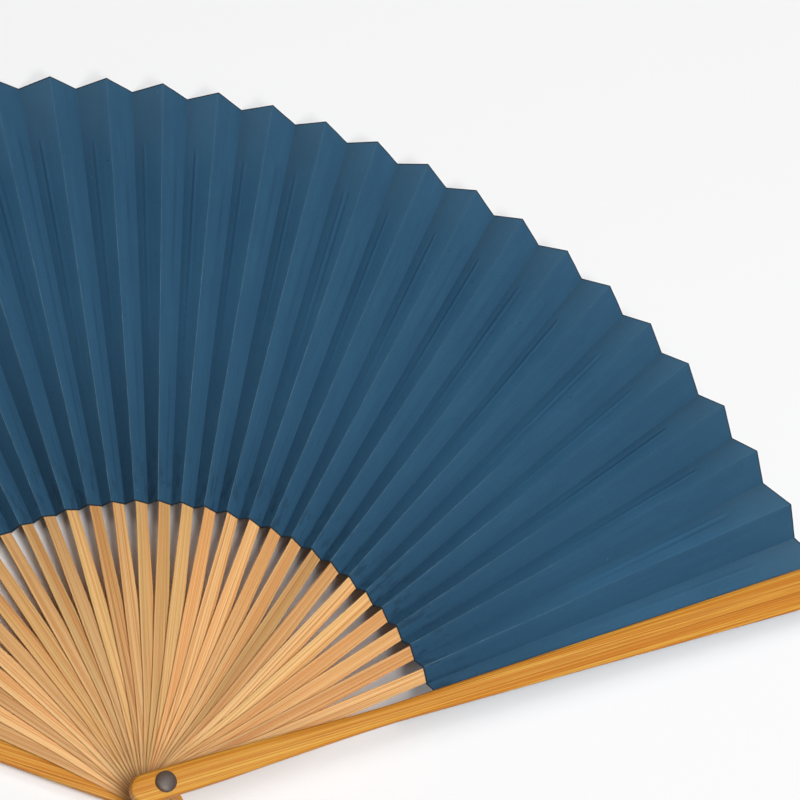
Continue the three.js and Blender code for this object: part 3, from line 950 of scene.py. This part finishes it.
def pin_material(finish):
    """Dark moulded pin with fine scuffs."""
    material, tree, shader = new_material("Dark pin")
    place = put(tree, "ShaderNodeTexCoord", (), "Object").split()
    scuffs = noise(tree, [part * 1800.0 for part in place], 4.0, 0.6)
    pits = noise(tree, [part * 6000.0 for part in place])
    worn = [min(1.0, part * 2.2) for part in finish.pin]
    base = paint(finish.pin, worn, scuffs.ease(0.5, 0.75))
    rough = scuffs * 0.25 + 0.3
    finish_shader(tree, shader, base, rough, pits, distance=0.00003, strength=0.4)
    return material


class FAN_OT_leaf(bpy.types.Operator):
    """Make the pleated leaf, one piece for each pleat."""
    bl_idname = "fan.leaf"
    bl_label = "Pleated leaf"

    def execute(self, context):
        leaf, sticks = context.scene.fan_leaf, context.scene.fan_sticks
        tree = pleat_tree(paper_material(leaf, context.scene.fan_finish))
        tip_share = (sticks.rib_tip - leaf.inner) / (leaf.outer - leaf.inner)
        random = np.random.default_rng(SEED)
        for pleat in range(1, LAST + 1):
            left, right = pleat - 1, pleat
            ends = {
                f"{line}_{edge}": panel_point(leaf, sticks, left + stick, edge, side)
                for line, (stick, side) in PLEAT_LINES.items() for edge in EDGES
            }
            across = (ends["mountain_inner"] - ends["valley_inner"]).cross(PIN_AXIS)
            across = PIN_AXIS.cross(across).normalized()
            middle = (ends["mountain_inner"] + ends["valley_inner"]) / 2
            values = {key: getattr(leaf, key) for key in PLEAT_SIZES}
            values |= {
                "blade": sticks.rib_width / 2, "blade_tip": sticks.rib_tip_width / 2,
                "tip_share": tip_share, "swell_tip_share": leaf.swell_tip / leaf.swell,
                "handled": GUARD_NEARNESS_FALL ** min(left, LAST - right),
                # The share to the right, which sets the painted light and shade on the panels
                "faded": min(max(pleat / LAST, RIGHT_SHARE_RANGE[0]), RIGHT_SHARE_RANGE[1]),
                "seed": float(pleat * 3), "up": tuple(PIN_AXIS),
            }
            # A panel that is glued to a guard stays flat and straight, and holds no blade.
            for word, crease, on_rib in (
                ("left", "valley_outer", left > 0), ("right", "mountain_outer", right < LAST),
            ):
                shift = across * random.normal(0, CREASE_STRAY) + PIN_AXIS * random.normal(0, CREASE_LIFT)
                if on_rib:
                    ends[crease] += shift
                for key in ("swell", "wander", "sag"):
                    values[f"{word}_{key}"] = getattr(leaf, key) if on_rib else 0.0
            values["tone"] = float(random.random())
            values |= {key: tuple(point) for key, point in ends.items()}
            blank = pleat_blank(tip_share, left == 0, right == LAST)
            piece = grow(tree, blank, f"leaf_pleat_{pleat:02d}", values)
            bpy.data.meshes.remove(blank)
            middle - across * BEND_REACH
            middle + across * BEND_REACH
            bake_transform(piece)
            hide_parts("leaf_front_sheet", "leaf_back_sheet")
        return {"FINISHED"}


class FAN_OT_ribs(bpy.types.Operator):
    """Make the thirty twisted bamboo ribs."""
    bl_idname = "fan.ribs"
    bl_label = "Bamboo ribs"

    def execute(self, context):
        leaf, sticks = context.scene.fan_leaf, context.scene.fan_sticks
        finish = context.scene.fan_finish
        bamboo = bamboo_material(
            "Split bamboo", (finish.rib_pale, finish.rib_warm, finish.rib_olive, finish.rib_line),
            gloss=0.5, contrast=0.9, fine=1.0, spread=0.38, edge=0.84,
        )
        tree = rib_tree(bamboo)
        radius = sticks.hole_radius
        rows = [
            *eye_rows(sticks.rib_tail, sticks.rib_eye, radius, (0, 0.04, 0.14, 0.3, 0.5, 0.75, 1)),
            0.004, *np.linspace(0.007, leaf.inner - 0.004, 22),
            *(leaf.inner + np.array(SHOULDER_ROWS)),
            *np.linspace(leaf.inner + 0.008, sticks.rib_tip, 12),
        ]
        flank = [(0.62, 1), (0.86, 0.97), (0.96, 0.75), (1, 0.3)]
        blank = bar_blank("rib_blank", flank, rows, radius / (sticks.rib_eye / 2), radius)
        values = {key: getattr(sticks, key) for key in RIB_SIZES}
        values |= {key: getattr(leaf, key) for key in RIB_LEAF_SIZES}
        values |= {
            "run_inner": leaf.inner * math.sin(leaf.share_inner / 2 * leaf.pitch) * 2,
            "run_outer": leaf.outer * math.sin(leaf.share_outer / 2 * leaf.pitch) * 2,
            "unevenness": UNEVENNESS,
            "lean": tuple(LEAN.to_euler("XYZ")), "foot": tuple(pin_foot(sticks)),
        }
        random = np.random.default_rng(SEED + 1)
        for index in range(1, LAST):
            values |= {
                "bearing": bearing(leaf, index), "lift": rib_lift(sticks, index),
                "tone": float(random.random()), "seed": float(index * 5),
            }
            piece = grow(tree, blank, f"rib_slat_{index:02d}", values)
            set_smooth(piece.data)
            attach(piece, STICKS[index])
            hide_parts(STICKS[index])
        bpy.data.meshes.remove(blank)
        return {"FINISHED"}


class FAN_OT_guards(bpy.types.Operator):
    """Make the two guards, broad bamboo sticks with crowned outer faces."""
    bl_idname = "fan.guards"
    bl_label = "Guards"

    def execute(self, context):
        leaf, sticks = context.scene.fan_leaf, context.scene.fan_sticks
        finish = context.scene.fan_finish
        bamboo = bamboo_material(
            "Varnished bamboo", (finish.guard_pale, finish.guard, finish.guard, finish.guard_line),
            gloss=0.45, contrast=1.0, fine=0.8, spread=0.0, edge=0.76,
        )
        radius, tip_start = sticks.hole_radius, sticks.guard_tip - sticks.tip_round
        corner = sticks.tip_round * np.sin(np.radians([15, 30, 45, 60, 72, 85]))
        rows = [
            *eye_rows(sticks.guard_tail, sticks.guard_eye, radius, (0, 0.03, 0.1, 0.22, 0.4, 0.65, 1)),
            0.005, 0.009, *np.linspace(sticks.boss_end, sticks.recess_start, 6),
            *np.linspace(sticks.recess_start + 0.006, tip_start, 34), *(tip_start + corner),
        ]
        flank = [
            (0.5, 1), (0.66, 1), (0.78, 1), (0.87, 1),
            (0.93, 0.985), (0.965, 0.94), (0.988, 0.84), (1, 0.66),
        ]
        for index, way, name in ((0, -1, "guard_slat_lower"), (LAST, 1, "guard_slat_upper")):
            mesh = bar_blank(name, flank, rows, radius / (sticks.guard_eye / 2), radius)
            x, y, z = np.array([vertex.co for vertex in mesh.vertices]).T
            out = x * guard_half_width(sticks, y)
            falling = np.clip((np.abs(x) - CROWN_START) / (1 - CROWN_START), 0, 1)
            outer = guard_outer(sticks, y) - sticks.crown * falling**CROWN_POWER
            height = boss_height(sticks, index) + way * part_way(guard_inner(sticks, y), outer, (z + 1) / 2)
            flat = np.stack([out * way, y, height], 1)
            placed = flat @ np.array(stick_turn(leaf, index)).T + np.array(pin_foot(sticks))
            mesh.vertices.foreach_set("co", placed.ravel())
            grain = np.stack([out, y], 1)[[loop.vertex_index for loop in mesh.loops]]
            mesh.uv_layers.new(name="grain").data.foreach_set("uv", grain.ravel())
            for key, kept in (("tone", np.full(len(x), GUARD_TONES[index])), ("rim", np.abs(x) * GUARD_RIM)):
                mesh.attributes.new(key, "FLOAT", "POINT").data.foreach_set("value", kept)
            set_smooth(mesh)
            mesh.update()
            mesh.materials.append(bamboo)
            piece = link_piece(name, mesh)
            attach(piece, STICKS[index])
            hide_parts(STICKS[index])
        return {"FINISHED"}


class FAN_OT_pin(bpy.types.Operator):
    """Make the pivot pin with its two domed heads."""
    bl_idname = "fan.pin"
    bl_label = "Pivot pin"

    def execute(self, context):
        sticks = context.scene.fan_sticks
        head, seat = sticks.head_radius, stack_height(sticks) / 2 + sticks.gap
        dome = sticks.head_height - HEAD_RIM
        outline = [
            (head * math.cos(turn), seat + HEAD_RIM + dome * math.sin(turn))
            for turn in np.radians(DOME_TURNS)
        ]
        outline += [(head, seat + HEAD_RIM), (head, seat + HEAD_RIM * 0.4)]
        outline += [(head - HEAD_RIM / 2, seat), (sticks.pin_radius, seat)]
        outline += [(radius, -z) for radius, z in reversed(outline)]
        turns = [2 * math.pi * step / PIN_SIDES for step in range(PIN_SIDES)]
        points = [(r * math.cos(turn), r * math.sin(turn), z) for r, z in outline for turn in turns]
        top, bottom, last_ring = len(points), len(points) + 1, len(points) - PIN_SIDES
        points += [(0, 0, seat + sticks.head_height), (0, 0, -seat - sticks.head_height)]
        faces = []
        for step in range(PIN_SIDES):
            along = (step + 1) % PIN_SIDES
            for ring in range(0, last_ring, PIN_SIDES):
                low = ring + PIN_SIDES
                faces.append((ring + step, low + step, low + along, ring + along))
            faces.append((top, step, along))
            faces.append((bottom, last_ring + along, last_ring + step))
        mesh = bpy.data.meshes.new("pivot_rivet")
        mesh.from_pydata([LEAN @ Vector(point) + PIN_MIDDLE for point in points], [], faces)
        set_smooth(mesh)
        mesh.materials.append(pin_material(context.scene.fan_finish))
        piece = link_piece("pivot_rivet", mesh)
        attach(piece, STICKS[0])
        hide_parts("pivot_pin")
        return {"FINISHED"}


def seen_rays(tree):
    """1 where the camera sees a surface, directly, by reflection or through glass."""
    rays = tree.nodes.new("ShaderNodeLightPath")
    seen = Wire(tree, rays.outputs["Is Camera Ray"])
    for name in ("Is Glossy Ray", "Is Transmission Ray"):
        seen = seen.math("MAXIMUM", Wire(tree, rays.outputs[name]))
    return seen


def floor_material(stage, finish):
    """Pale floor that keeps the shadow, and fades to white far from the fan."""
    material, tree, shader = new_material("Pale floor")
    shader.inputs["Base Color"].default_value = solid(finish.floor)
    shader.inputs["Roughness"].default_value = 0.9
    shader.inputs["Specular IOR Level"].default_value = 0.1
    place = put(tree, "ShaderNodeTexCoord", (), "Object")
    away = put(tree, "ShaderNodeVectorMath", {0: place}, "Value", operation="LENGTH")
    away = away.ease(stage.fade_start, stage.fade_end) * seen_rays(tree)
    pale = put(tree, "ShaderNodeEmission", {"Color": solid(FAR_FLOOR)})
    faded = put(tree, "ShaderNodeMixShader", {0: away, 1: Wire(tree, shader.outputs[0]), 2: pale})
    feed(tree, tree.nodes["Material Output"].inputs["Surface"], faded)
    return material


class FAN_OT_stage(bpy.types.Operator):
    """Make the floor, the lights and the camera."""
    bl_idname = "fan.stage"
    bl_label = "Stage"

    def execute(self, context):
        scene, stage = context.scene, context.scene.fan_stage
        scene.view_settings.view_transform = "Standard"
        half = stage.floor_size / 2
        mesh = bpy.data.meshes.new("floor")
        corners = [(-half, -half), (half, -half), (half, half), (-half, half)]
        mesh.from_pydata([(x, y, -FLOOR_DROP) for x, y in corners], [], [(0, 1, 2, 3)])
        mesh.materials.append(floor_material(stage, scene.fan_finish))
        link_piece("floor", mesh)

        world = bpy.data.worlds.new("Soft room")
        world.use_nodes = True
        scene.world = world
        tree = world.node_tree
        background = tree.nodes["Background"]
        background.inputs["Color"].default_value = (1, 1, 1, 1)
        feed(tree, background.inputs["Strength"], seen_rays(tree) * (1 - stage.fill) + stage.fill)

        for key in LIGHTS:
            watts, turn, rise = (getattr(stage, f"{key}_{part}") for part in ("power", "turn", "rise"))
            lamp = bpy.data.lights.new(f"{key.title()} light", "AREA")
            lamp.shape = "DISK"
            lamp.size = stage.lamp_size
            lamp.energy = watts
            light = link_piece(lamp.name, lamp)
            flat = math.cos(rise)
            way = Vector((math.cos(turn) * flat, math.sin(turn) * flat, math.sin(rise)))
            light.location = LIGHT_TARGET + way * stage.lamp_distance
            light.rotation_euler = (-way).to_track_quat("-Z", "Y").to_euler()

        lens = bpy.data.cameras.new("Camera")
        lens.sensor_width = SENSOR_WIDTH
        lens.lens = CAMERA_LENS
        lens.clip_start, lens.clip_end = CLIP_RANGE
        camera = link_piece("Camera", lens)
        camera.location = CAMERA_PLACE
        look = (CAMERA_TARGET - CAMERA_PLACE).to_track_quat("-Z", "Y").to_matrix()
        roll = Matrix.Rotation(math.radians(CAMERA_ROLL), 3, "Z")
        camera.rotation_euler = (look @ roll).to_euler()
        scene.camera = camera
        return {"FINISHED"}


class FAN_PT_panel(bpy.types.Panel):
    """Lists the fan's pieces and sizes."""
    bl_idname = "FAN_PT_panel"
    bl_label = "Folding fan"
    bl_space_type = "VIEW_3D"
    bl_region_type = "UI"
    bl_category = "Fan"

    def draw(self, context):
        for operator in OPERATORS:
            self.layout.operator(operator.bl_idname)
        for name in GROUPS:
            group = getattr(context.scene, name)
            box = self.layout.box()
            box.label(text=group.bl_rna.name)
            for key in group.bl_rna.properties.keys():
                if key not in ("rna_type", "name"):
                    box.prop(group, key)


GROUPS = {
    "fan_leaf": LeafSizes, "fan_sticks": StickSizes, "fan_finish": FanFinish, "fan_stage": StageSizes,
}
OPERATORS = (FAN_OT_leaf, FAN_OT_ribs, FAN_OT_guards, FAN_OT_pin, FAN_OT_stage)


def register():
    """Adds the classes and their settings."""
    for name, group in GROUPS.items():
        bpy.utils.register_class(group)
        setattr(bpy.types.Scene, name, PointerProperty(type=group))
    for item in (*OPERATORS, FAN_PT_panel):
        bpy.utils.register_class(item)


def unregister():
    """Removes the classes and their settings."""
    for item in (FAN_PT_panel, *reversed(OPERATORS)):
        bpy.utils.unregister_class(item)
    for name, group in reversed(GROUPS.items()):
        delattr(bpy.types.Scene, name)
        bpy.utils.unregister_class(group)


def main():
    """Makes the fan and its stage."""
    register()
    bpy.ops.fan.leaf()
    bpy.ops.fan.ribs()
    bpy.ops.fan.guards()
    bpy.ops.fan.pin()
    bpy.ops.fan.stage()


if __name__ == "__main__":
    main()
